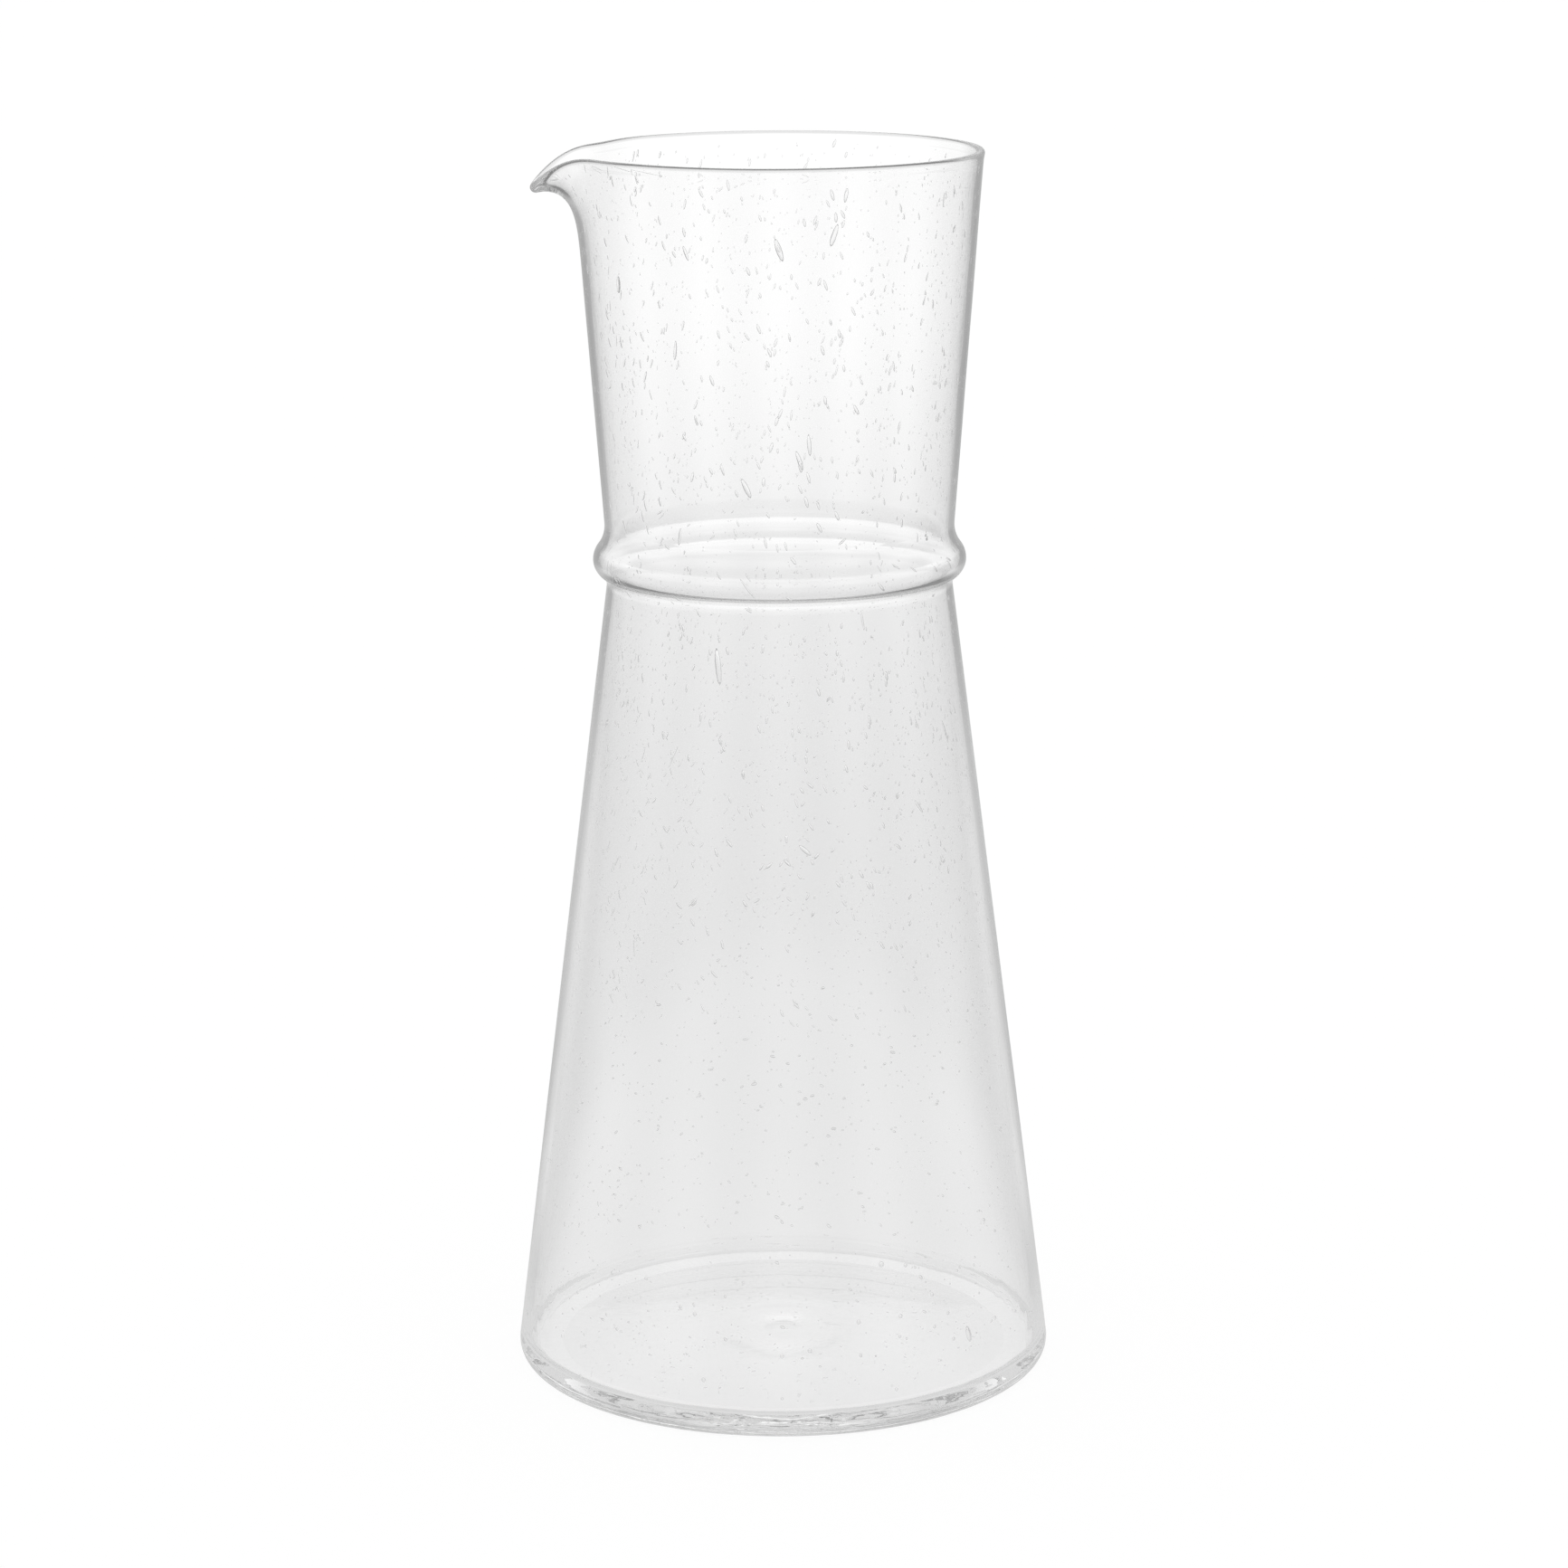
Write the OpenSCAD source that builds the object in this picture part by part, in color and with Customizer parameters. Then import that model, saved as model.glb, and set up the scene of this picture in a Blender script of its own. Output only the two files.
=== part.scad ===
// Mouth-blown water carafe with a flared neck, a hollow collar and a pulled pouring lip
// The origin is the centre of the resting face, +Z is up and the lip points to -X

/* [Overall form] */
// Height of the rim above the table
rim_h = 250; // [200:1:300]
// Diameter of the funnel-shaped neck at the rim
rim_d = 81.7; // [74:0.1:90]
// Diameter of the cone's side carried down to the table
foot_d = 111; // [96:0.5:126]
// Diameter where the cone and the funnel would meet behind the collar
waist_d = 69; // [62:0.2:76]
// Height where the cone and the funnel would meet
waist_h = 166; // [140:0.2:190]

/* [Glass] */
// Thickness of the blown wall from the collar up to the rim
wall = 1.3; // [1.1:0.1:1.8]
// Thickness of the wall at the foot, from where it thins upwards to the collar
foot_wall = 1.9; // [1.5:0.1:2.6]
// Thickness of the floor
floor_t = 4.2; // [3:0.1:6]

/* [Heel and underside] */
// Outer radius of the heel
heel_r = 3.4; // [2:0.1:5]
// Inner radius between the floor and the wall
well_r = 2.4; // [1:0.1:5]
// Width of the flat ring that the carafe rests on
rest_w = 5.6; // [3:0.1:12]
// Rise of the underside at its centre
punt_rise = 1; // [0.4:0.1:2]
// Diameter of the low swirl left in the middle of the floor
swirl_d = 34; // [20:1:50]
// Height of the swirl
swirl_rise = 0.25; // [0.1:0.05:0.6]
// Height of the base band
base_h = 12; // [9:0.5:20]

/* [Collar] */
// How far the crest of the collar stands out from the meeting of cone and funnel
collar_out = 3.1; // [2.6:0.1:5]
// Height of the crest above the meeting of cone and funnel
collar_rise = 2.1; // [1:0.1:4]
// Radius of the crest's lower half
collar_low_r = 4.4; // [3.6:0.1:5.2]
// Radius of the crest's upper half
collar_top_r = 4.2; // [3.4:0.1:5]
// Fillet between the collar and the cone
crease_r = 0.9; // [0.6:0.1:2]
// Fillet between the collar and the funnel
shoulder_r = 7.1; // [4:0.1:9]
// Length of plain wall that the collar piece keeps at each end
seam_len = 1.5; // [1:0.25:4]

/* [Rim and pouring lip] */
// Height of the rim band that carries the lip
band_h = 26; // [25.5:0.5:34]
// Height of the wall that the lip was pulled out of
lip_len = 23.2; // [16:0.1:25]
// How far the middle of the lip was pulled outwards
lip_out = 7.8; // [4:0.1:10]
// How far the middle of the lip was pulled down
lip_drop = 6.4; // [2:0.1:8]
// How far the rim was drawn in on both sides of the lip
flank_in = 0.3; // [0:0.1:1.6]
// How far the rim sank on both sides of the lip
flank_drop = 0.2; // [0:0.1:1]
// Angle of the rim that the lip takes up
lip_span = 96; // [84:1:120]
// Extra thickness that the fire leaves at the rounded rim edge
rim_bead = 0.3; // [0:0.1:0.8]
// Further thickness at the tip of the lip, where the glass gathers
tip_bead = 0.6; // [0:0.1:2]

/* [Hidden] */
// Smoothness of the round surfaces
$fn = 128;
// Points along each small arc
arc_n = 8;
// How sharply the reach and the drop die away from the middle of the lip
out_power = 7.8;
drop_power = 14;
// How late on its way up the wall bends out into the lip
bend_power = 3.9;
// How sharply the tip's bead dies away round the rim and down the wall, and the rim's bead down the wall
round_power = 8;
tip_power = 12;
rim_power = 30;
// Angle between two sections of the lip, and points along its height
lip_step = 2;
lip_n = 16;
// Radii of the line that each wall would follow, before the wall's thickness is taken off
foot_r = foot_d / 2;
waist_r = waist_d / 2;
rim_r = rim_d / 2;
crest_h = waist_h + collar_rise;
crest_r = waist_r + collar_out;
// Lean of the cone and of the funnel from the vertical
cone_a = atan((foot_r - waist_r) / waist_h);
funnel_a = atan((rim_r - waist_r) / (rim_h - waist_h));
band_z = rim_h - band_h;
// Height of the middle of the rounded rim edge
edge_z = rim_h - (wall + rim_bead) / 2;
lip_half = lip_span / 2;
lip_sections = 2 * round(lip_half / lip_step);

// Radius of the cone and of the funnel at height z, inset by t square to the wall
function cone_r(z, t) = foot_r - z * tan(cone_a) - t / cos(cone_a);
function funnel_r(z, t) = waist_r + (z - waist_h) * tan(funnel_a) - t / cos(funnel_a);

// Radius of the inside of the cone at height z, inset by t from its wall, which thins from foot to collar
function inner_r(z, t) = cone_r(0, foot_wall) - z * tan(inner_a) - t / cos(inner_a);

// Points on an arc round c from angle a0 to a1
function arc(c, r, a0, a1) =
    [for (i = [0:arc_n]) c + r * [cos(a0 + (a1 - a0) * i / arc_n), sin(a0 + (a1 - a0) * i / arc_n)]];

// Same list in the other order
function turned(p) = [for (i = [len(p) - 1:-1:0]) p[i]];

// Direction of a vector in degrees
function angle_of(v) = atan2(v[1], v[0]);

// Centre of the fillet that touches a crest arc and the wall line
// c and r give the crest arc, f the fillet radius, u the line's direction, n its outward normal
function fillet_at(c, r, f, u, n) =
    let (w = [waist_r, waist_h] + n * f)
    let (q = w - c)
    let (b = q * u)
    w + u * (sqrt(b * b - q * q + (r + f) * (r + f)) - b);

// Unit vectors along the cone downwards and along the funnel upwards, and their normals
down_u = [sin(cone_a), -cos(cone_a)];
down_n = [cos(cone_a), sin(cone_a)];
up_u = [sin(funnel_a), cos(funnel_a)];
up_n = [cos(funnel_a), -sin(funnel_a)];
// Centres of the four arcs that make the collar
low_c = [crest_r - collar_low_r, crest_h];
top_c = [crest_r - collar_top_r, crest_h];
crease_c = fillet_at(low_c, collar_low_r, crease_r, down_u, down_n);
shoulder_c = fillet_at(top_c, collar_top_r, shoulder_r, up_u, up_n);
// Heights where the collar piece meets the body and the neck
collar_z0 = (crease_c - down_n * crease_r)[1] - seam_len;
collar_z1 = (shoulder_c - up_n * shoulder_r)[1] + seam_len;
// Lean of the inside of the cone
inner_a = atan((cone_r(0, foot_wall) - cone_r(collar_z0, wall)) / collar_z0);

// Outline of the collar from bottom to top, inset by t
function collar_line(t) = concat(
    [[cone_r(collar_z0, t), collar_z0]],
    arc(crease_c, crease_r + t, 180 + cone_a, angle_of(low_c - crease_c)),
    arc(low_c, collar_low_r - t, angle_of(crease_c - low_c), 0),
    arc(top_c, collar_top_r - t, 0, angle_of(shoulder_c - top_c)),
    arc(shoulder_c, shoulder_r + t, angle_of(top_c - shoulder_c) + 360, 180 - funnel_a),
    [[funnel_r(collar_z1, t), collar_z1]]
);

// How far the rim is moved outwards and down at angle a from the middle of the lip
// It is drawn in most halfway between that middle and the lip's end
function fade(a) = max(0, cos(90 * a / lip_half));
function flank(a) = pow(sin(180 * a / lip_half), 2);
function pull(a) = [
    lip_out * pow(fade(a), out_power) - flank_in * flank(a),
    -lip_drop * pow(fade(a), drop_power) - flank_drop * flank(a)
];

// Middle of the glass and the direction along it, where t runs from the lip's foot to the rim edge
edge_mid = [funnel_r(edge_z, wall / 2), edge_z];
function mid(t, p) = edge_mid - up_u * lip_len * (1 - t) + p * pow(t, bend_power);
function along(t, p) = let (v = up_u * lip_len + bend_power * p * pow(t, bend_power - 1)) v / norm(v);
function out_of(u) = [u[1], -u[0]];

// Half the thickness of the glass at t and at angle a from the middle of the lip
function half_t(t, a) =
    (wall + rim_bead * pow(t, rim_power) + tip_bead * pow(fade(a), round_power) * pow(t, tip_power)) / 2;

// Section of the rim at angle a from the middle of the lip, up the outside and down the inside
function rim_section(a) =
    let (p = pull(a))
    let (steps = [for (i = [0:lip_n]) i / lip_n])
    let (u = along(1, p))
    concat(
        [[funnel_r(band_z, 0), band_z]],
        [for (t = steps) mid(t, p) + half_t(t, a) * out_of(along(t, p))],
        [for (i = [1:arc_n - 1])
            mid(1, p) + half_t(1, a) * (cos(180 * i / arc_n) * out_of(u) + sin(180 * i / arc_n) * u)],
        [for (t = turned(steps)) mid(t, p) - half_t(t, a) * out_of(along(t, p))],
        [[funnel_r(band_z, wall), band_z]]
    );

// Thick floor with its rounded heel, hollow underside and the start of the wall
module base() {
    heel_c = [cone_r(heel_r, heel_r), heel_r];
    punt_r = heel_c[0] - rest_w;
    well_c = [inner_r(floor_t + well_r, well_r), floor_t + well_r];
    color([0.86, 0.9, 0.9, 0.5])
        rotate_extrude()
            polygon(concat(
                [for (i = [0:arc_n]) [punt_r * i / arc_n, punt_rise * (1 - pow(i / arc_n, 2))]],
                arc(heel_c, heel_r, -90, cone_a),
                [[cone_r(base_h, 0), base_h], [inner_r(base_h, 0), base_h]],
                arc(well_c, well_r, inner_a, -90),
                [for (i = [0:arc_n]) [
                    swirl_d / 2 * (1 - i / arc_n),
                    floor_t + swirl_rise / 2 * (1 - cos(360 * i / arc_n))
                ]]
            ));
}

// Long cone that holds the water
module body() {
    color([0.86, 0.9, 0.9, 0.5])
        rotate_extrude()
            polygon([
                [cone_r(base_h, 0), base_h],
                [cone_r(collar_z0, 0), collar_z0],
                [cone_r(collar_z0, wall), collar_z0],
                [inner_r(base_h, 0), base_h]
            ]);
}

// Hollow ring blown out of the wall where the cone and the funnel meet
module collar() {
    color([0.86, 0.9, 0.9, 0.5])
        rotate_extrude()
            polygon(concat(collar_line(0), turned(collar_line(wall))));
}

// Funnel-shaped neck that is held when pouring
module neck() {
    color([0.86, 0.9, 0.9, 0.5])
        rotate_extrude()
            polygon([
                [funnel_r(collar_z1, 0), collar_z1],
                [funnel_r(band_z, 0), band_z],
                [funnel_r(band_z, wall), band_z],
                [funnel_r(collar_z1, wall), collar_z1]
            ]);
}

// Plain part of the fire-polished rim
module rim() {
    color([0.86, 0.9, 0.9, 0.5])
        rotate([0, 0, 180 + lip_half])
            rotate_extrude(angle = 360 - lip_span)
                polygon(rim_section(lip_half));
}

// Pouring lip pulled out and down, most in the middle, between two flanks that are drawn in
module lip() {
    rows = [for (k = [0:lip_sections]) lip_half * (2 * k / lip_sections - 1)];
    m = len(rim_section(0));
    points = [for (a = rows) for (p = rim_section(a)) [p[0] * cos(180 + a), p[0] * sin(180 + a), p[1]]];
    sides = [for (k = [0:lip_sections - 1]) for (i = [0:m - 1])
        let (j = (i + 1) % m)
        for (t = [[k * m + i, k * m + j, k * m + m + j], [k * m + i, k * m + m + j, k * m + m + i]]) t];
    ends = [
        [for (i = [0:m - 1]) m - 1 - i],
        [for (i = [0:m - 1]) lip_sections * m + i]
    ];
    color([0.86, 0.9, 0.9, 0.5])
        polyhedron(points, concat(sides, ends), convexity = 4);
}

base();
body();
collar();
neck();
rim();
lip();
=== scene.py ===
import math

import bmesh
import bpy
from mathutils import Matrix, Vector


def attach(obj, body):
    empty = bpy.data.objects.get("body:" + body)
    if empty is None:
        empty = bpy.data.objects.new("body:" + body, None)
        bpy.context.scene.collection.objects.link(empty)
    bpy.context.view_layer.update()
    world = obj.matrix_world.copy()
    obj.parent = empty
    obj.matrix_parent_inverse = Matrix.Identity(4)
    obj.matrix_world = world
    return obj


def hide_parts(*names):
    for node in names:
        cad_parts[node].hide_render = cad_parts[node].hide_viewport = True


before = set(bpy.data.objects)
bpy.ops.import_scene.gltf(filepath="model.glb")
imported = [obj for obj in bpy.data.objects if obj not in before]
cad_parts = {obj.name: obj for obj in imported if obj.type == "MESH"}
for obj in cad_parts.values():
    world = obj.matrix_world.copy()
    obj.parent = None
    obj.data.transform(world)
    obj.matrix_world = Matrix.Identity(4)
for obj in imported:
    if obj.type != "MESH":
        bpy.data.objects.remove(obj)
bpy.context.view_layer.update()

# The carafe is one piece of clear glass, blown, opened at the rim and fire-polished. The wall thins from
# 1.9 mm at the foot to 1.3 mm from the collar up, the floor is about 4 mm thick, and the collar is a hollow
# ring blown out of that same wall. The pouring lip is the soft rim pulled outwards and down.
rim_h, rim_r, foot_r, waist_r, waist_h = 0.250, 0.04085, 0.0555, 0.0345, 0.166
wall, foot_wall, floor_t = 0.0013, 0.0019, 0.0042
heel_r, well_r, rest_w, punt_rise = 0.0034, 0.0024, 0.0056, 0.001
swirl_r, swirl_rise = 0.017, 0.00045
crest_r, collar_rise, low_r, top_r, crease_r, shoulder_r = 0.0376, 0.0021, 0.0036, 0.0042, 0.0025, 0.0071
lip_len, lip_out, lip_drop, flank_in, flank_drop = 0.0232, 0.0078, 0.0064, 0.0003, 0.0002
lip_half, out_power, drop_power, bend_power = math.radians(48), 7.8, 14, 3.9
rim_bead, tip_bead, rim_power, tip_power, round_power = 0.0003, 0.0006, 30, 12, 8
cone_a = math.atan((foot_r - waist_r) / waist_h)
funnel_a = math.atan((rim_r - waist_r) / (rim_h - waist_h))


def cone_radius(z, inset):
    return foot_r - z * math.tan(cone_a) - inset / math.cos(cone_a)


def funnel_radius(z, inset):
    return waist_r + (z - waist_h) * math.tan(funnel_a) - inset / math.cos(funnel_a)


def arc(center, radius, start, end, steps):
    return [(center + radius * Vector((math.cos(angle), math.sin(angle))))
            for angle in (start + (end - start) * i / steps for i in range(steps + 1))]


def straight(start, end, steps):
    """The points between start and end, without the two"""
    return [Vector(start).lerp(Vector(end), i / steps) for i in range(1, steps)]


def fillet_center(center, radius, fillet, along, normal):
    """The centre of an arc that is tangent to a straight wall through the waist and to an arc of the crest"""
    waist = Vector((waist_r, waist_h)) + fillet * normal
    apart = waist - center
    back = apart.dot(along)
    return waist + along * (math.sqrt(back * back - apart.dot(apart) + (radius + fillet) ** 2) - back)


def heading(way):
    return math.atan2(way.y, way.x)


down_u, down_n = Vector((math.sin(cone_a), -math.cos(cone_a))), Vector((math.cos(cone_a), math.sin(cone_a)))
up_u = Vector((math.sin(funnel_a), math.cos(funnel_a)))
up_n = Vector((math.cos(funnel_a), -math.sin(funnel_a)))
low_c = Vector((crest_r - low_r, waist_h + collar_rise))
top_c = Vector((crest_r - top_r, waist_h + collar_rise))
crease_c = fillet_center(low_c, low_r, crease_r, down_u, down_n)
shoulder_c = fillet_center(top_c, top_r, shoulder_r, up_u, up_n)
crease_steps, low_steps, top_steps, shoulder_steps = 12, 20, 12, 10


def collar_line(inset):
    """The collar from bottom to top: crease, lower and upper half of the crest, shoulder"""
    shoulder_start = heading(top_c - shoulder_c) + 2 * math.pi
    return (arc(crease_c, crease_r + inset, math.pi + cone_a, heading(low_c - crease_c), crease_steps)
            + arc(low_c, low_r - inset, heading(crease_c - low_c), 0, low_steps)[1:]
            + arc(top_c, top_r - inset, 0, heading(shoulder_c - top_c), top_steps)[1:]
            + arc(shoulder_c, shoulder_r + inset, shoulder_start, math.pi - funnel_a, shoulder_steps)[1:])


# The seam of body and collar lies a little below the crease, and from there up the wall is at its thinnest
seam_len = 0.0015
collar_z0 = collar_line(0)[0].y - seam_len
inner_a = math.atan((cone_radius(0, foot_wall) - cone_radius(collar_z0, wall)) / collar_z0)
edge_z = rim_h - (wall + rim_bead) / 2
edge_mid = Vector((funnel_radius(edge_z, wall / 2), edge_z))
heel_c = Vector((cone_radius(heel_r, heel_r), heel_r))
well_z = floor_t + well_r
well_c = Vector((cone_radius(0, foot_wall) - well_z * math.tan(inner_a) - well_r / math.cos(inner_a), well_z))
punt_r = heel_c.x - rest_w
# The section is drawn finely up to fine_z, past the marks of the mould, and again from just below the lip
fine_z, band_len = 0.032, lip_len * 1.08
punt_steps, heel_steps, fine_steps, cone_steps, neck_steps, lip_steps = 10, 24, 26, 14, 10, 22
edge_steps, swirl_steps, floor_steps, well_steps = 12, 16, 5, 14
# Each point of the section carries its distance to the rim's edge and its side of the wall. Below the lip
# the distance makes no difference as long as it is more than the lip's length.
plain = 1.0


def band(side):
    """The rim band, from its foot to the middle of the rounded edge: points, distance to the edge, side"""
    return [(edge_mid - up_u * to_edge + up_n * side * wall / 2, to_edge, side)
            for to_edge in (band_len * (1 - i / lip_steps) for i in range(lip_steps + 1))]


def wall_line(start, depth, side):
    """One face of the wall from a point on the cone up to the rim edge: depth 0 is outside and 1 inside"""
    fine_wall = foot_wall + (wall - foot_wall) * fine_z / collar_z0
    low = Vector((cone_radius(fine_z, depth * fine_wall), fine_z))
    collar = collar_line(depth * wall)
    top = band(side)
    line = ([start] + straight(start, low, fine_steps) + [low] + straight(low, collar[0], cone_steps) + collar
            + straight(collar[-1], top[0][0], neck_steps))
    return [(point, plain, 0) for point in line] + top


round_edge = []
for i in range(1, edge_steps):
    angle = math.pi * i / edge_steps
    across, up = math.cos(angle), math.sin(angle)
    round_edge.append((edge_mid + wall / 2 * (across * up_n + up * up_u), -wall / 2 * up, across))
underside = ([Vector((punt_r * i / punt_steps, punt_rise * (1 - (i / punt_steps) ** 2)))
              for i in range(punt_steps + 1)]
             + arc(heel_c, heel_r, -math.pi / 2, cone_a, heel_steps))
well = ([Vector((swirl_r * i / swirl_steps,
                 floor_t + swirl_rise / 2 * (1 - math.cos(2 * math.pi * i / swirl_steps))))
         for i in range(swirl_steps + 1)]
        + straight((swirl_r, floor_t), (well_c.x, floor_t), floor_steps)
        + arc(well_c, well_r, -math.pi / 2, inner_a, well_steps))
section = ([(point, plain, 0) for point in underside[:-1]] + wall_line(underside[-1], 0, 1) + round_edge
           + wall_line(well[-1], 1, -1)[::-1] + [(point, plain, 0) for point in reversed(well[:-1])])


def draw_line(mesh, points, loose=0):
    """Makes the points one line of edges in the plane of the section, and adds loose points at the origin"""
    mesh.from_pydata([(point.x, 0, point.y) for point in points] + [(0, 0, 0)] * loose,
                     [(i, i + 1) for i in range(len(points) - 1)], [])


def set_values(mesh, name, values):
    mesh.attributes.new(name, "FLOAT", "POINT").data.foreach_set("value", values)


carafe = bpy.data.objects.new("carafe_glass", bpy.data.meshes.new("carafe_profile"))
bpy.context.collection.objects.link(carafe)
draw_line(carafe.data, [point for point, to_edge, side in section])
set_values(carafe.data, "to_edge", [to_edge for point, to_edge, side in section])
set_values(carafe.data, "side", [side for point, to_edge, side in section])


class Value:
    """A number in a node tree, so that a formula in nodes reads as one"""

    def __init__(self, tree, socket):
        self.tree, self.socket = tree, socket

    def math(self, operation, *others):
        node = self.tree.nodes.new("ShaderNodeMath")
        node.operation = operation
        for place, value in zip(node.inputs, (self,) + others):
            if isinstance(value, Value):
                self.tree.links.new(value.socket, place)
            else:
                place.default_value = value
        return Value(self.tree, node.outputs[0])

    def __add__(self, other):
        return self.math("ADD", other)

    def __sub__(self, other):
        return self.math("SUBTRACT", other)

    def __mul__(self, other):
        return self.math("MULTIPLY", other)

    def __truediv__(self, other):
        return self.math("DIVIDE", other)

    def __pow__(self, other):
        return self.math("POWER", other)

    def __neg__(self):
        return self.math("MULTIPLY", -1.0)

    def at_most(self, other):
        return self.math("MINIMUM", other)

    def at_least(self, other):
        return self.math("MAXIMUM", other)

    def sin(self):
        return self.math("SINE")

    def cos(self):
        return self.math("COSINE")

    def abs(self):
        return self.math("ABSOLUTE")


def add_node(tree, kind, inputs=None, **settings):
    node = tree.nodes.new(kind)
    for key, value in settings.items():
        setattr(node, key, value)
    for key, value in (inputs or {}).items():
        value = value.socket if isinstance(value, Value) else value
        if isinstance(value, bpy.types.NodeSocket):
            tree.links.new(value, node.inputs[key])
        else:
            node.inputs[key].default_value = value
    return node


def smooth_step(value, span, levels):
    """The first level where the value is below the span, the second above it, and a smooth change between"""
    node = add_node(value.tree, "ShaderNodeMapRange", {
        "Value": value, "From Min": span[0], "From Max": span[1], "To Min": levels[0], "To Max": levels[1]},
        interpolation_type="SMOOTHSTEP")
    return Value(value.tree, node.outputs[0])


FLOAT, INT = "NodeSocketFloat", "NodeSocketInt"
MATERIAL, GEOMETRY = "NodeSocketMaterial", "NodeSocketGeometry"


def new_tree(name, takes, gives, sizes=()):
    """A node tree with named inputs, and the values that those inputs bring"""
    tree = bpy.data.node_groups.new(name, "GeometryNodeTree")
    for label, kind in takes:
        socket = tree.interface.new_socket(label, in_out="INPUT", socket_type=kind)
        if label in sizes:
            socket.default_value = sizes[label]
    for label, kind in gives:
        tree.interface.new_socket(label, in_out="OUTPUT", socket_type=kind)
    brought = tree.nodes.new("NodeGroupInput").outputs
    return tree, {socket.name: Value(tree, socket) for socket in brought if socket.name}


def run_tree(obj, tree, values):
    """Runs the tree on the object and leaves the result as its plain mesh"""
    modifier = obj.modifiers.new(tree.name, "NODES")
    modifier.node_group = tree
    for item in tree.interface.items_tree:
        if item.in_out == "INPUT" and item.name in values:
            modifier[item.identifier] = values[item.name]
    bpy.context.view_layer.update()
    shape = bpy.data.meshes.new_from_object(obj.evaluated_get(bpy.context.evaluated_depsgraph_get()))
    obj.modifiers.remove(modifier)
    obj.data = shape


def end_tree(tree, geometry, material):
    """Every tree ends in real faces that carry their material"""
    real = add_node(tree, "GeometryNodeRealizeInstances", {"Geometry": geometry})
    dressed = add_node(tree, "GeometryNodeSetMaterial", {"Geometry": real.outputs[0], "Material": material})
    tree.links.new(dressed.outputs[0], tree.nodes.new("NodeGroupOutput").inputs[0])


lip_sizes = {
    "Lip length": lip_len, "Lip reach": lip_out, "Lip drop": lip_drop, "Flank in": flank_in,
    "Flank drop": flank_drop, "Lip half angle": lip_half, "Funnel lean": funnel_a, "Half wall": wall / 2,
    "Rim bead": rim_bead, "Tip bead": tip_bead}
pull, has = new_tree("pull on the soft rim", [
    (label, FLOAT) for label in ("Radius", "Height", "To edge", "Side", "Turn", *lip_sizes)],
    [("Radius", FLOAT), ("Height", FLOAT)], lip_sizes)
# The lip points to -X, half a turn from the start. Below its foot the share of the pull is zero.
tiny = 1e-6
from_lip = ((has["Turn"] - math.pi).abs() / has["Lip half angle"]).at_most(1.0)
fade = (from_lip * (math.pi / 2)).cos().at_least(tiny)
flank = (from_lip * math.pi).sin() ** 2
out = has["Lip reach"] * fade ** out_power - has["Flank in"] * flank
drop = has["Lip drop"] * fade ** drop_power + has["Flank drop"] * flank
share = (-(has["To edge"] / has["Lip length"]) + 1).at_least(0.0).at_most(1.0)
past_edge = (-has["To edge"]).at_least(0.0)
# The wall leans with the pull, so its two faces and its rounded edge turn by the same angle
lean = has["Funnel lean"]
along_x = has["Lip length"] * lean.sin() + share ** (bend_power - 1) * out * bend_power
along_z = has["Lip length"] * lean.cos() - share ** (bend_power - 1) * drop * bend_power
along_len = (along_x ** 2 + along_z ** 2) ** 0.5
way_x, way_z = along_x / along_len, along_z / along_len
tilt_x, tilt_z = way_x - lean.sin(), way_z - lean.cos()
off = has["Side"] * has["Half wall"]
# Melting rounds the rim into a thin bead, which is thicker at the tip of the lip
bead = (has["Rim bead"] * share ** rim_power + has["Tip bead"] * fade ** round_power * share ** tip_power) / 2
swell, rise = has["Side"] * bead, past_edge / has["Half wall"] * bead
pulled_radius = (has["Radius"] + share ** bend_power * out + off * tilt_z + past_edge * tilt_x
                 + swell * way_z + rise * way_x)
pulled_height = (has["Height"] - share ** bend_power * drop - off * tilt_x + past_edge * tilt_z
                 - swell * way_x + rise * way_z)
given = pull.nodes.new("NodeGroupOutput").inputs
pull.links.new(pulled_radius.socket, given["Radius"])
pull.links.new(pulled_height.socket, given["Height"])


def turned_point(tree, radius, height, to_edge, side, turn):
    """The point of the glass that a point of the section comes to, with the pull of the lip"""
    node = add_node(tree, "GeometryNodeGroup", {
        "Radius": radius, "Height": height, "To edge": to_edge, "Side": side, "Turn": turn}, node_tree=pull)
    return Value(tree, node.outputs["Radius"]), Value(tree, node.outputs["Height"])


def around_axis(tree, radius, height, turn):
    return add_node(tree, "ShaderNodeCombineXYZ", {
        "X": radius * turn.cos(), "Y": radius * turn.sin(), "Z": height}).outputs[0]


def split(tree, vector):
    node = add_node(tree, "ShaderNodeSeparateXYZ", {"Vector": vector})
    return [Value(tree, socket) for socket in node.outputs]


def named(tree, name):
    node = add_node(tree, "GeometryNodeInputNamedAttribute", {"Name": name}, data_type="FLOAT")
    return Value(tree, node.outputs[0])


lathe, has = new_tree("glass turned round its axis", [
    ("Geometry", GEOMETRY), ("Sides", INT), ("Points", INT), ("Unevenness", FLOAT), ("Heel drag", FLOAT),
    ("Glass", MATERIAL)], [("Geometry", GEOMETRY)])
# One row of a grid for each point of the section, and one column for each step of the turn
grid = add_node(lathe, "GeometryNodeMeshGrid", {
    "Size X": 1.0, "Size Y": 1.0, "Vertices X": has["Sides"] + 1, "Vertices Y": has["Points"]})
spot_x, spot_y = split(lathe, lathe.nodes.new("GeometryNodeInputPosition").outputs[0])[:2]
turn = (spot_x + 0.5) * (2 * math.pi)
row = ((spot_y + 0.5) * (has["Points"] - 1)).math("ROUND")


def from_section(kind, source):
    return add_node(lathe, "GeometryNodeSampleIndex", {
        "Geometry": has["Geometry"], "Value": source, "Index": row},
        data_type=kind, domain="POINT").outputs[0]


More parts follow.
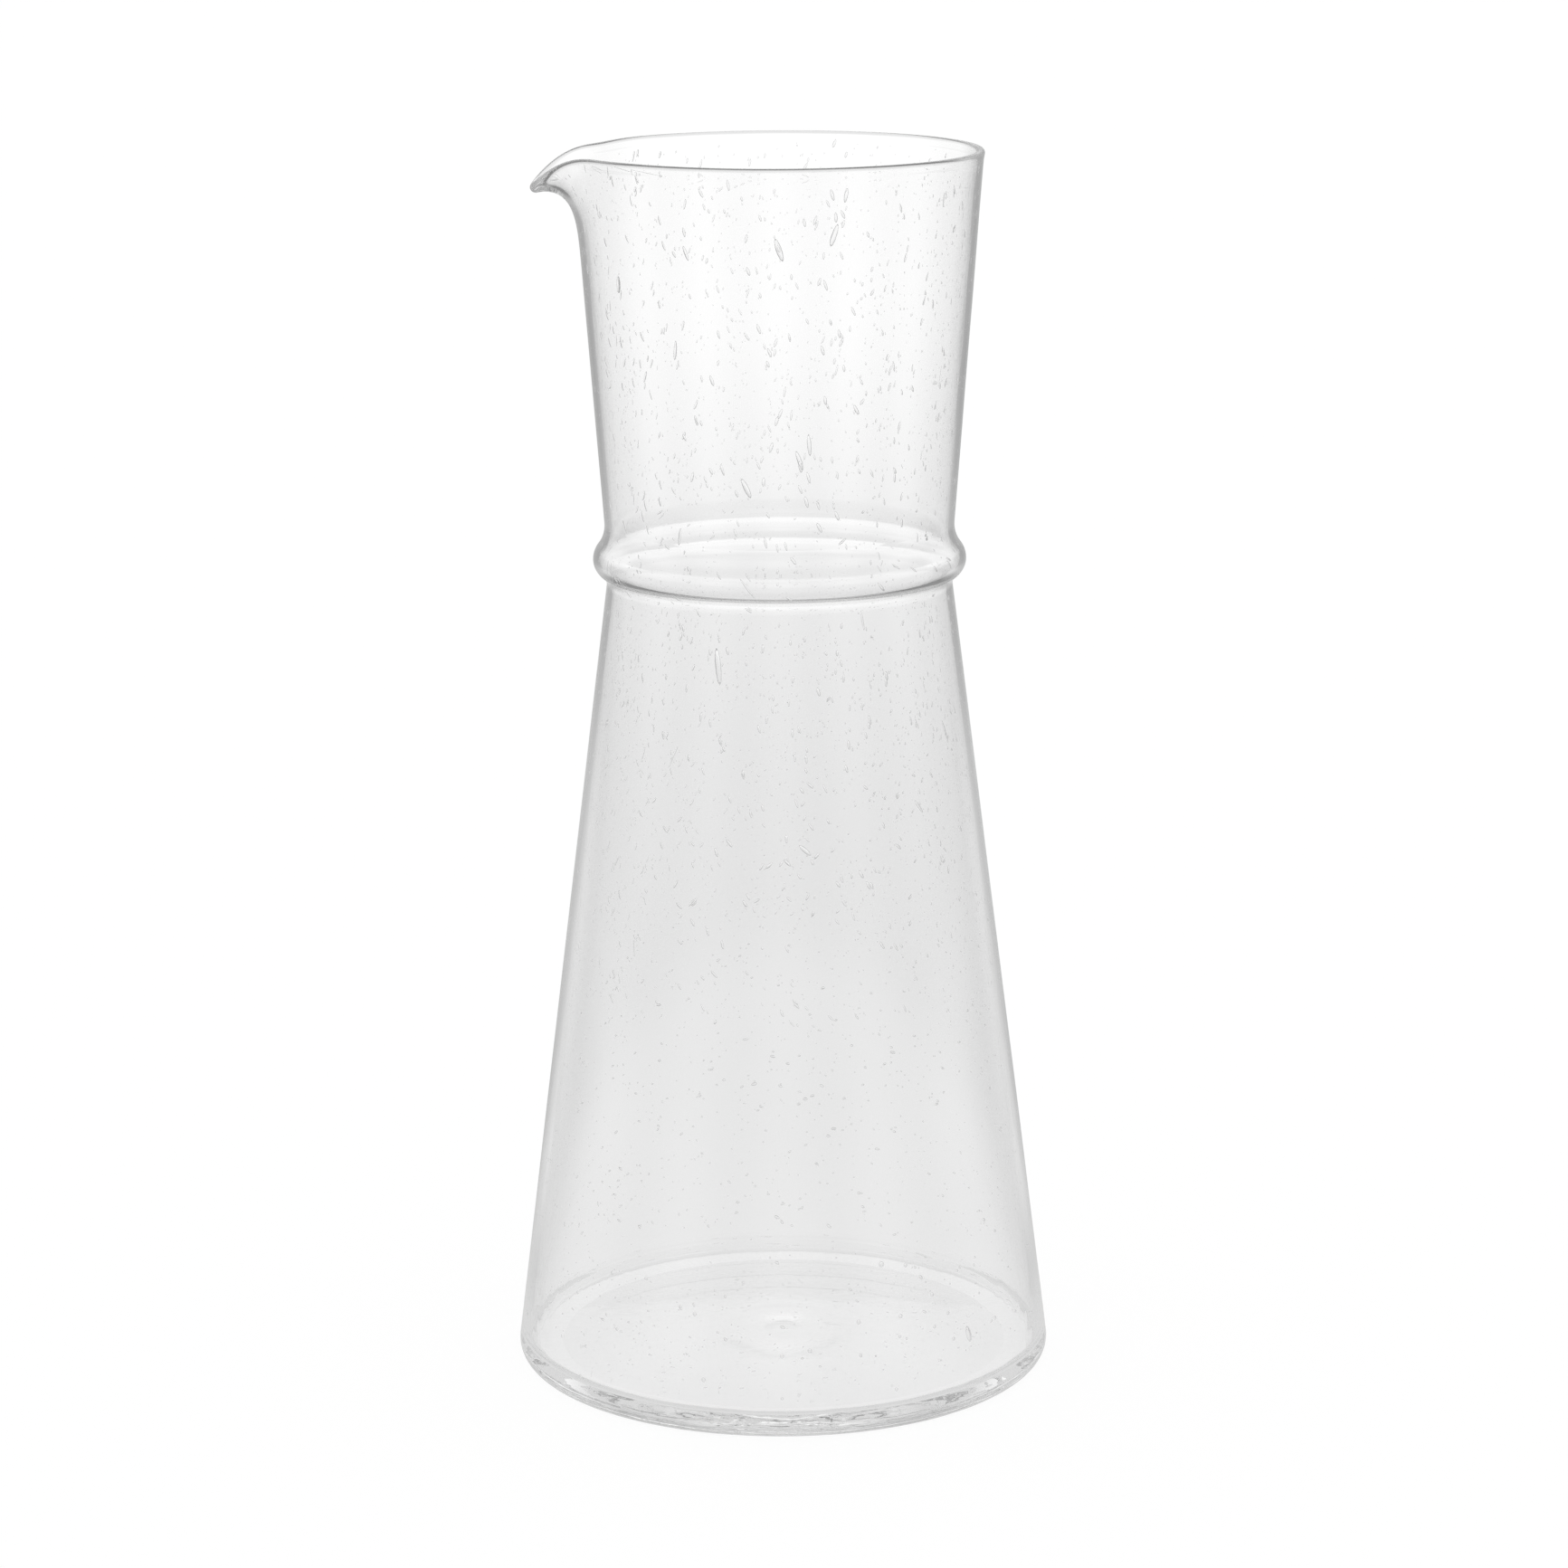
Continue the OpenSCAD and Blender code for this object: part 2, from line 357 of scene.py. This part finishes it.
radius, height = split(lathe, from_section(
    "FLOAT_VECTOR", lathe.nodes.new("GeometryNodeInputPosition").outputs[0]))[::2]
to_edge = Value(lathe, from_section("FLOAT", named(lathe, "to_edge")))
side = Value(lathe, from_section("FLOAT", named(lathe, "side")))
radius, height = turned_point(lathe, radius, height, to_edge, side, turn)
# Glass blown by hand is never quite even, and the cold mould drags at the heel as the bubble turns in it
wave_scale, drag_across, drag_up = 45.0, 250, 1600
drag_span, even_span = (0.009, 0.03), (0.0, 0.045)
waves = add_node(lathe, "ShaderNodeTexNoise", {
    "Vector": around_axis(lathe, radius, height, turn), "Scale": wave_scale, "Detail": 2.0})
drawn = add_node(lathe, "ShaderNodeTexNoise", {
    "Vector": around_axis(lathe, radius * drag_across, height * drag_up, turn), "Scale": 1.0, "Detail": 3.0})
low_down = smooth_step(height, drag_span, (1.0, 0.0))
sway = ((Value(lathe, waves.outputs[0]) - 0.5) * has["Unevenness"]
        + (Value(lathe, drawn.outputs[0]) - 0.5) * has["Heel drag"] * low_down)
radius = radius + sway * smooth_step(radius, even_span, (0.0, 1.0))
shape = add_node(lathe, "GeometryNodeSetPosition", {
    "Geometry": grid.outputs["Mesh"], "Position": around_axis(lathe, radius, height, turn)})
shape = add_node(lathe, "GeometryNodeMergeByDistance", {"Geometry": shape.outputs[0], "Distance": tiny})
shape = add_node(lathe, "GeometryNodeSetShadeSmooth", {"Geometry": shape.outputs[0]})
end_tree(lathe, shape.outputs[0], has["Glass"])


def clear_material(name, ior):
    """Colourless glass or air with nothing on its surface"""
    material = bpy.data.materials.new(name)
    material.use_nodes = True
    shader = material.node_tree.nodes["Principled BSDF"]
    shader.inputs["Base Color"].default_value = (1, 1, 1, 1)
    shader.inputs["Roughness"].default_value = 0.0
    shader.inputs["IOR"].default_value = ior
    shader.inputs["Transmission Weight"].default_value = 1.0
    return material


# Faint ripples, drawn out upwards, and a trace of grey that shows where light goes far through the glass
glass_ior, glass_grey, soak_per_m = 1.5, 0.9, 4.0
drawn_out, ripple_scale, ripple_strength, ripple_depth = 0.25, 160.0, 0.06, 0.0004
glass = clear_material("clear blown glass", glass_ior)
tree = glass.node_tree
stretch = add_node(tree, "ShaderNodeMapping", {
    "Vector": tree.nodes.new("ShaderNodeTexCoord").outputs["Object"], "Scale": (1, 1, drawn_out)})
ripple = add_node(tree, "ShaderNodeTexNoise", {
    "Vector": stretch.outputs[0], "Scale": ripple_scale, "Detail": 2.0})
bump = add_node(tree, "ShaderNodeBump", {
    "Strength": ripple_strength, "Distance": ripple_depth, "Height": ripple.outputs[0]})
soak = add_node(tree, "ShaderNodeVolumeAbsorption", {
    "Color": (glass_grey, glass_grey, glass_grey, 1), "Density": soak_per_m})
tree.links.new(bump.outputs[0], tree.nodes["Principled BSDF"].inputs["Normal"])
tree.links.new(soak.outputs[0], tree.nodes["Material Output"].inputs["Volume"])

sides, unevenness, heel_drag = 256, 0.00012, 0.00014
run_tree(carafe, lathe, {
    "Sides": sides, "Points": len(section), "Unevenness": unevenness, "Heel drag": heel_drag, "Glass": glass})
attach(carafe, "root")
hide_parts("base", "body", "collar", "neck", "rim", "lip")

# The seeds are air bubbles caught in the glass. Blowing and turning the neck drew them out into slanting
# needles, and further down, where the glass moved less, they stay small and round. Each is a closed
# bubble set in the wall, so its shader bends light the other way, from glass into air.
bend_r, middle_z, middle_steps = 0.003, floor_t * 0.6, 8
bend_c = Vector((cone_radius(middle_z + bend_r, foot_wall / 2 + bend_r), middle_z + bend_r))
floor_line = ([Vector((bend_c.x * i / middle_steps, middle_z)) for i in range(middle_steps)]
              + arc(bend_c, bend_r, -math.pi / 2, cone_a, middle_steps))
middle = [(point, plain, 0) for point in floor_line[:-1]] + wall_line(floor_line[-1], 0.5, 0)
middle_points = [point for point, to_edge, side in middle]
reached = [0.0]
for start, end in zip(middle_points, middle_points[1:]):
    reached.append(reached[-1] + (end - start).length)
line_len = reached[-1]


def along_at(z):
    """How far along the middle of the wall, as a share, it first reaches the height z above the floor"""
    i = next(i for i, point in enumerate(middle_points) if point.y >= z and i > len(floor_line))
    low, high = middle_points[i - 1].y, middle_points[i].y
    return (reached[i - 1] + (reached[i] - reached[i - 1]) * (z - low) / (high - low)) / line_len


marks = ("along", "turn", "length", "width", "lean", "side")
seeds, has = new_tree("seeds drawn out in the wall", [
    ("Geometry", GEOMETRY), ("Count", INT), ("Seed", INT), ("Air", MATERIAL),
    *[(label, FLOAT) for label in (
        "From", "To", "Crowding", "Shortest", "Longest", "Roundness", "Flatness", "Lean", "Spread",
        "Line length", "Half wall")]], [("Geometry", GEOMETRY)])
line = add_node(seeds, "GeometryNodeMeshToCurve", {"Mesh": has["Geometry"]}).outputs[0]


def chance(number):
    """A random value from 0 to 1 for each seed. The node gives numbers at its second output."""
    node = add_node(seeds, "FunctionNodeRandomValue", {"Seed": has["Seed"] + number}, data_type="FLOAT")
    return Value(seeds, node.outputs[1])


def on_wall(along, turn, side):
    """The point inside the wall at a share of its line, a turn and a side, and its radius there"""
    sample = add_node(seeds, "GeometryNodeSampleCurve", {
        "Curves": line, "Value": named(seeds, "to_edge"), "Factor": along}, mode="FACTOR", data_type="FLOAT")
    at_x, at_z = split(seeds, sample.outputs["Position"])[::2]
    to_x, to_z = split(seeds, sample.outputs["Tangent"])[::2]
    off = side * has["Half wall"]
    to_edge = Value(seeds, sample.outputs[0])
    radius, height = turned_point(seeds, at_x + off * to_z, at_z - off * to_x, to_edge, side, turn)
    return around_axis(seeds, radius, height, turn), radius


# Most seeds are short, a longer one is slimmer for its length, and each stays between the wall's two faces
mm_per_m, short_bias, slimming, usual_width, width_spread = 1000, 2.5, 0.55, 0.00036, 0.5
widest, depth_share = 0.9, 0.92
length = has["Shortest"] * (has["Longest"] / has["Shortest"]) ** (chance(3) ** short_bias)
width = ((length * mm_per_m) ** slimming * (chance(4) * width_spread + (1 - width_spread / 2))
         * has["Roundness"] * usual_width)
drawn_at_random = {
    "along": has["From"] + (has["To"] - has["From"]) * chance(1) ** has["Crowding"],
    "turn": chance(2) * (2 * math.pi), "length": length, "width": width.at_most(length * widest),
    "lean": has["Lean"] + (chance(5) + chance(6) - 1) * has["Spread"],
    "side": (chance(7) * 2 - 1) * (-(width / (has["Half wall"] * 2)) + depth_share)}
points = add_node(seeds, "GeometryNodePoints", {"Count": has["Count"]}).outputs[0]
for name in marks:
    points = add_node(seeds, "GeometryNodeStoreNamedAttribute", {
        "Geometry": points, "Name": name, "Value": drawn_at_random[name]},
        data_type="FLOAT", domain="POINT").outputs[0]
chosen = add_node(seeds, "GeometryNodeMeshToPoints", {
    "Mesh": has["Geometry"], "Selection": named(seeds, "length").math("GREATER_THAN", 0.0)})
points_of_all = seeds.nodes.new("GeometryNodeJoinGeometry")
seeds.links.new(points, points_of_all.inputs[0])
seeds.links.new(chosen.outputs[0], points_of_all.inputs[0])
# Each seed points from its middle to its tip, both in the wall, and is flattened across the wall
nearest_r = 0.002
along, turn, length, width, lean, side = [named(seeds, name) for name in marks]
spot, spot_radius = on_wall(along, turn, side)
tip = on_wall(along + length * lean.cos() * 0.5 / has["Line length"],
              turn - length * lean.sin() * 0.5 / spot_radius.at_least(nearest_r), side)[0]
axis = add_node(seeds, "ShaderNodeVectorMath", {0: tip, 1: spot}, operation="SUBTRACT")
facing = add_node(seeds, "FunctionNodeAlignRotationToVector", {"Vector": axis.outputs[0]}, axis="Z")
outwards = add_node(seeds, "ShaderNodeVectorMath", {0: spot, 1: (1, 1, 0)}, operation="MULTIPLY")
facing = add_node(seeds, "FunctionNodeAlignRotationToVector", {
    "Rotation": facing.outputs[0], "Vector": outwards.outputs[0]}, axis="X", pivot_axis="Z")
placed = add_node(seeds, "GeometryNodeSetPosition", {"Geometry": points_of_all.outputs[0], "Position": spot})
bubble = add_node(seeds, "GeometryNodeMeshUVSphere", {"Segments": 8, "Rings": 5, "Radius": 0.5})
size = add_node(seeds, "ShaderNodeCombineXYZ", {"X": width * has["Flatness"], "Y": width, "Z": length})
bubbles = add_node(seeds, "GeometryNodeInstanceOnPoints", {
    "Points": placed.outputs[0], "Instance": bubble.outputs["Mesh"], "Rotation": facing.outputs[0],
    "Scale": size.outputs[0]})
bubbles = add_node(seeds, "GeometryNodeSetShadeSmooth", {"Geometry": bubbles.outputs[0]})
end_tree(seeds, bubbles.outputs[0], has["Air"])

air = clear_material("air in the glass", 1 / glass_ior)
usual = {"Line length": line_len, "Half wall": wall / 2, "Air": air, "Crowding": 1.0, "Roundness": 1.0,
         "Flatness": 0.28}


def add_seeds(name, chosen=(), **values):
    """A piece of seeds: drawn at random in a zone of the wall, or each placed where it lies"""
    mesh = bpy.data.meshes.new(name)
    draw_line(mesh, middle_points, len(chosen))
    set_values(mesh, "to_edge", [to_edge for point, to_edge, side in middle] + [0] * len(chosen))
    for i, mark in enumerate(marks):
        set_values(mesh, mark, [0] * len(middle) + [seed[i] for seed in chosen])
    piece = bpy.data.objects.new(name, mesh)
    bpy.context.collection.objects.link(piece)
    run_tree(piece, seeds, {**usual, **{label.replace("_", " "): value for label, value in values.items()}})
    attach(piece, "root")


# The zones of the wall, by the heights at which they meet. The heel's half wall is thicker than the usual
# one, and the seeds of the floor keep off its outer edge.
rim_z, cone_top_z, cone_low_z, foot_z, heel_z = 0.2475, 0.134, 0.082, 0.012, 0.0065
heel_half, floor_share = 0.0009, 0.85
collar_z1 = collar_line(0)[-1].y
floor_end = reached[len(floor_line) - middle_steps] / line_len
add_seeds("seeds_of_the_neck", Count=2300, Seed=11, From=along_at(collar_z1), To=along_at(rim_z),
          Shortest=0.0003, Longest=0.0024, Flatness=0.26, Lean=math.radians(17), Spread=math.radians(16))
add_seeds("seeds_of_the_collar", Count=200, Seed=23, From=along_at(collar_z0), To=along_at(collar_z1),
          Shortest=0.0003, Longest=0.0024, Lean=math.radians(34), Spread=math.radians(34))
add_seeds("seeds_below_the_collar", Count=1150, Seed=37, From=along_at(cone_top_z), To=along_at(collar_z0),
          Shortest=0.0003, Longest=0.002, Flatness=0.4, Lean=math.radians(7), Spread=math.radians(18))
add_seeds("seeds_of_the_cone", Count=1900, Seed=41, From=along_at(cone_low_z), To=along_at(cone_top_z),
          Shortest=0.0003, Longest=0.002, Flatness=0.4, Lean=math.radians(29), Spread=math.radians(26))
add_seeds("seeds_low_in_the_cone", Count=1350, Seed=53, From=along_at(foot_z), To=along_at(cone_low_z),
          Shortest=0.00028, Longest=0.0012, Flatness=0.65, Roundness=1.4, Lean=math.radians(65),
          Spread=math.radians(60))
add_seeds("seeds_of_the_floor", Count=110, Seed=67, From=0.0, To=floor_share * floor_end, Crowding=0.5,
          Shortest=0.0006, Longest=0.0012, Flatness=0.4, Roundness=2.0, Lean=math.radians(45),
          Spread=math.radians(90))
add_seeds("seeds_drawn_round_the_heel", Count=150, Seed=71, From=floor_end, To=along_at(heel_z),
          Half_wall=heel_half, Shortest=0.0012, Longest=0.006, Roundness=0.5, Lean=math.radians(90),
          Spread=math.radians(7))

# The largest bubbles, each where it lies: height, turn and slant, then length and width, in millimetres
# and degrees
largest = [
    (152.5, 248.5, 8, 7.43, 1.24), (136, 328, 18, 5.23, 0.61), (234.5, 268.5, 18, 4.68, 1.14),
    (228.8, 70.5, 16, 4.89, 1.13), (196.5, 277.5, 5, 4.37, 0.79), (188, 258, 24, 4.21, 1.07),
    (193.5, 274.5, 19, 4.13, 0.86), (206, 124.5, 7, 4.06, 0.79), (177.5, 234.5, -11, 3.68, 0.6),
    (202.5, 20.5, 14, 5.11, 0.42), (161, 296, 7, 4.07, 0.44), (221, 149.5, 6, 3.47, 1.24),
    (237.2, 67, 9, 3.46, 0.94), (233.5, 241.5, 19, 3.05, 0.71), (123, 312, 35, 3.4, 0.63),
    (117, 275, 48, 3.07, 0.85), (95, 225.5, 10, 3.31, 0.4), (119.5, 124, 25, 4.92, 0.52),
    (121.5, 137, 16, 3.45, 0.51), (237.8, 27, 8, 3.15, 0.57), (16, 313, 12, 3.49, 1.47)]
# Short drawn seeds and fine lines where the tool held the soft rim beside the lip, in the same order
beside_the_lip = [
    (248.22, 202, 0, 1.77, 0.32), (248.13, 214, 0, 1.94, 0.42), (248.44, 224.5, 6, 1.31, 0.31),
    (248.49, 234.5, 0, 1.22, 0.28), (248.58, 246.5, 0, 1.04, 0.35), (248.5, 208.5, 80, 4.42, 0.16),
    (248, 208, 74, 4.24, 0.14), (248.8, 221, 82, 5.26, 0.14), (248.5, 230, 84, 8.02, 0.14),
    (248.11, 189, 45, 1.97, 0.32), (248, 189.5, 70, 1.43, 0.32), (248.38, 191, -10, 1.43, 0.23),
    (248.47, 190, 20, 1.25, 0.21)]
# Needles that were pulled aslant as the collar was blown, in the same order. They are straight, so the
# lower ends of the four longest stand up to 0.4 mm out of the collar's tight curve.
on_the_collar = [
    (168.5, 202, 24, 3.6, 0.25), (168, 205, 26, 4.31, 0.29), (167, 207.5, 28, 3.59, 0.27),
    (166.5, 210, 30, 3.05, 0.25), (166, 212, 34, 2.51, 0.25), (164, 191.5, 22, 2.18, 0.24),
    (168.5, 258.5, 40, 4.74, 0.35), (170.5, 258.5, 35, 2.11, 0.35), (171, 307.5, 48, 2.13, 0.35),
    (170, 314, 45, 1.78, 0.36), (169.5, 357, 31, 3.1, 0.4), (173.5, 302, 15, 1.77, 0.32),
    (172, 302.5, -30, 1.42, 0.28), (171, 301, 20, 1.59, 0.32)]
# Round bubbles near the floor, which hardly moved in the blowing: only height, turn and diameter
near_the_floor = [
    (23, 285, 0.94), (23, 295, 0.91), (19.5, 303.5, 0.8), (16, 308.5, 0.81), (21.5, 307.5, 0.8),
    (26, 303.5, 0.84), (33, 297, 0.87), (34, 291, 1.17), (18, 274, 0.9), (17, 268, 0.87), (11.5, 251, 0.91),
    (24.5, 248.5, 0.87), (25.5, 245, 0.72), (6.5, 219, 0.85), (13, 220, 0.74), (23, 215.5, 0.74),
    (29.5, 226.5, 0.84), (30, 236, 0.69), (18.5, 229, 0.73), (8.5, 293, 0.73), (19, 294.5, 0.73),
    (17, 322.5, 0.81), (8.5, 268, 0.65)]
nearly_round = 0.95
for name, where in (
        ("largest_seeds", largest), ("seeds_beside_the_lip", beside_the_lip),
        ("needles_on_the_collar", on_the_collar),
        ("round_seeds_near_the_floor", [
            (z, at, 0, across, nearly_round * across) for z, at, across in near_the_floor])):
    add_seeds(name, Count=0, chosen=[
        (along_at(z / mm_per_m), math.radians(at), length / mm_per_m, width / mm_per_m,
         math.radians(slant), 0.0)
        for z, at, slant, length, width in where])

# The floor and the white background: a pale table that runs out of sight in a bright room. Through the glass
# the table's glow has painted shade: a little greyer near the carafe and white further off, and painted
# darker from straight above in place of a satin gloss. The glass mirrors the table and the room, which are
# darker away from the light, and on the table that light and shade is painted into its glow.
table_r, table_sides, table_white, matte_share, matte_white = 12, 96, 1.05, 0.1, 0.9
disc = bmesh.new()
bmesh.ops.create_circle(disc, cap_ends=True, radius=table_r, segments=table_sides)
floor_mesh = bpy.data.meshes.new("studio_floor")
disc.to_mesh(floor_mesh)
disc.free()
studio_floor = bpy.data.objects.new("studio_floor", floor_mesh)
bpy.context.collection.objects.link(studio_floor)
table_top = bpy.data.materials.new("white table")
table_top.use_nodes = True
tree = table_top.node_tree
tree.nodes.remove(tree.nodes["Principled BSDF"])


def mix(a, b, share):
    """The value a where the share is 0 and b where it is 1"""
    return share * (b - a) + a if isinstance(b, Value) else (-a + b) * share + a


def seen_by(tree, camera_sees, glass_sees, mirror_shows):
    """One value for the camera, one for what is seen through the glass and one for what the glass mirrors"""
    path = tree.nodes.new("ShaderNodeLightPath")
    mirrored = Value(tree, path.outputs["Glossy Depth"]).math("GREATER_THAN", 0.5)
    inside = mix(glass_sees, mirror_shows, mirrored)
    return mix(inside, camera_sees, Value(tree, path.outputs["Is Camera Ray"]))


room_turn, window_count, window_level = math.radians(-1.7), 8, 0.2


def windows(x, y):
    """How the mirrored room changes round the carafe: bright windows with darker wall between them"""
    turn = x.math("ARCTAN2", y) + room_turn
    return (turn * window_count).cos()


# A span of away is in metres from the axis, and foot_edge is just outside the heel. A span of slant goes
# from 0, straight above, to 1, level with the table.
foot_edge = 0.06
where = tree.nodes.new("ShaderNodeTexCoord").outputs["Object"]
away = Value(tree, add_node(tree, "ShaderNodeVectorMath", {0: where}, operation="LENGTH").outputs["Value"])
slant = Value(tree, add_node(tree, "ShaderNodeLayerWeight", {"Blend": 0.5}).outputs["Facing"])
# Painted shade in place of a gloss: the glow is darker from straight above. The shade fades where the table
# is lit through the base, and shows only through more than one wall: light through one wall crosses two faces
# of the glass, and through two, four.
few_faces, painted_shade_span, painted_shade_slant, painted_shade_levels = 3.5, (foot_edge, 0.075), (0.3, 0.55), (0.15, 1.0)
through_span, through_levels = (0.3, 1.8), (0.88, 1.12)
faces = Value(tree, tree.nodes.new("ShaderNodeLightPath").outputs["Transmission Depth"])
painted_shade_share = faces.math("GREATER_THAN", few_faces) * smooth_step(away, painted_shade_span, (0.0, 1.0))
painted_shade_from_above = mix(1.0, smooth_step(slant, painted_shade_slant, painted_shade_levels), painted_shade_share)
# Painted shade: through the glass the table's glow is greyer near the carafe and brighter far off
through_glass = smooth_step(away, through_span, through_levels) * painted_shade_from_above
# The mirrored table is painted light and shade in its glow: paler close to the heel, darker far off, with the
# windows' light painted round it, and painted dark where it is mirrored steeply
window_span, steep_span, steep_slant, steep_level = (foot_edge, 0.2), (foot_edge, 0.12), (0.5, 0.75), 0.7
mirror_span, mirror_levels, heel_span, heel_level = (0.5, 1.2), (0.68, 0.48), (foot_edge, 0.1), 0.06
at_x, at_y = split(tree, where)[:2]
room = windows(at_x, at_y) * smooth_step(away, window_span, (0.0, window_level)) + 1
steep_share = smooth_step(away, steep_span, (0.0, steep_level))
steep = smooth_step(slant, steep_slant, (1.0, 0.0)) * steep_share * -1 + 1
near_and_far = (smooth_step(away, mirror_span, mirror_levels)
                + smooth_step(away, heel_span, (heel_level, 0.0)))
mirrored_table = near_and_far * room * steep
# The table glows white by itself to the camera, with the painted light and shade above where the glass shows
# it, and its small matte share takes the carafe's shadow
glow = add_node(tree, "ShaderNodeEmission", {
    "Strength": seen_by(tree, table_white, through_glass, mirrored_table)})
matte = add_node(tree, "ShaderNodeBsdfDiffuse", {"Color": (matte_white, matte_white, matte_white, 1)})
both = add_node(tree, "ShaderNodeMixShader", {0: matte_share, 1: glow.outputs[0], 2: matte.outputs[0]})
tree.links.new(both.outputs[0], tree.nodes["Material Output"].inputs["Surface"])
floor_mesh.materials.append(table_top)

# The room is white where the camera sees it, and darker overhead through the glass. Mirrored, it is
# brightest between the horizon and the ceiling. A span of sky_z goes from 0 at the horizon to 1 overhead.
ceiling_span, ceiling_levels = (0.3, 0.9), (1.0, 0.45)
wall_span, wall_levels, overhead_span, overhead_levels = (0.08, 0.25), (0.48, 0.85), (0.4, 0.7), (0.0, -0.55)
world = bpy.data.worlds.new("studio")
bpy.context.scene.world = world
world.use_nodes = True
tree = world.node_tree
sky_x, sky_y, sky_z = split(tree, tree.nodes.new("ShaderNodeTexCoord").outputs["Generated"])
room = windows(sky_x, sky_y) * window_level + 1
mirrored_room = (smooth_step(sky_z, wall_span, wall_levels)
                 + smooth_step(sky_z, overhead_span, overhead_levels)) * room
level = seen_by(tree, 1.0, smooth_step(sky_z, ceiling_span, ceiling_levels), mirrored_room)
tree.links.new(level.socket, tree.nodes["Background"].inputs["Strength"])
tree.nodes["Background"].inputs["Color"].default_value = (1, 1, 1, 1)
# Light goes round many times inside the heel and the rim before it leaves the glass
rounds = 400
bounces = bpy.context.scene.cycles
bounces.max_bounces, bounces.glossy_bounces, bounces.transmission_bounces = rounds, rounds, rounds

# The camera at the photograph's place: 0.92 m from the axis and 0.34 m above the table, a little to one
# side, tilted down and rolled a hair
camera = bpy.data.objects.new("camera", bpy.data.cameras.new("camera"))
bpy.context.collection.objects.link(camera)
bpy.context.scene.camera = camera
image_px, focal_px, axis_px, middle_px, sensor_mm = 1733, 5116.28, 862.86, 867, 36
lens_away, lens_h = 0.919248, 0.336471
around, pitch, roll = math.radians(-1.7), 0.23027, -0.00474
ahead = Vector((0, math.cos(pitch), -math.sin(pitch)))
right = Vector((1, 0, 0))
above = right.cross(ahead)
right, above = (math.cos(roll) * right + math.sin(roll) * above,
                math.cos(roll) * above - math.sin(roll) * right)
view = Matrix((right, above, -ahead)).transposed().to_4x4()
view.translation = Vector((0, -lens_away, lens_h))
camera.matrix_world = Matrix.Rotation(around, 4, "Z") @ view
camera.data.sensor_width = sensor_mm
camera.data.lens = focal_px / image_px * sensor_mm
camera.data.shift_x = (image_px / 2 - axis_px) / image_px
camera.data.shift_y = (middle_px - image_px / 2) / image_px
camera.data.clip_start = 0.01
camera.data.clip_end = 50

bpy.context.scene.view_settings.view_transform = "Standard"
